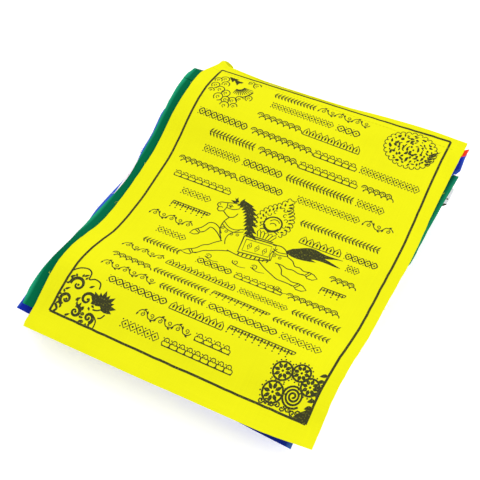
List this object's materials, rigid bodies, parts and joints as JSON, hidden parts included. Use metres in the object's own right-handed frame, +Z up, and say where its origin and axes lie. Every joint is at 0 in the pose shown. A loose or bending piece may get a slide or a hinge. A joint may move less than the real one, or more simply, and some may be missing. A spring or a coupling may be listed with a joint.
{
  "type": "folded string of prayer flags",
  "caption": "String of block-printed cloth prayer flags on one cord, folded back and forth at the cord into a soft, uneven pile that lies flat on a surface.",
  "frame": {"origin": "on the surface that the pile lies on, on the lowest flag's flat underside, below the middle of the top flag", "axes": "+X across the flags to the right of the print, +Y from the free ends to the hems, +Z up"},
  "size_m": [0.2312, 0.267, 0.0389],
  "materials": {
    "yellow_cloth": "plain-weave dyed cloth, dark green-black print",
    "green_cloth": "plain-weave dyed cloth, black print",
    "red_cloth": "plain-weave dyed cloth, black print",
    "white_cloth": "plain-weave cloth, faint violet cast, black print",
    "blue_cloth": "plain-weave dyed cloth, black print",
    "cord_fibre": "twisted undyed cotton cord"
  },
  "bodies": {
    "root": {"yellow_upper": "yellow_cloth", "green_upper": "green_cloth", "red_upper": "red_cloth", "white_upper": "white_cloth", "blue_upper": "blue_cloth", "yellow_lower": "yellow_cloth", "green_lower": "green_cloth", "red_lower": "red_cloth", "white_lower": "white_cloth", "blue_lower": "blue_cloth", "cord": "cord_fibre"}
  },
  "joints": []
}
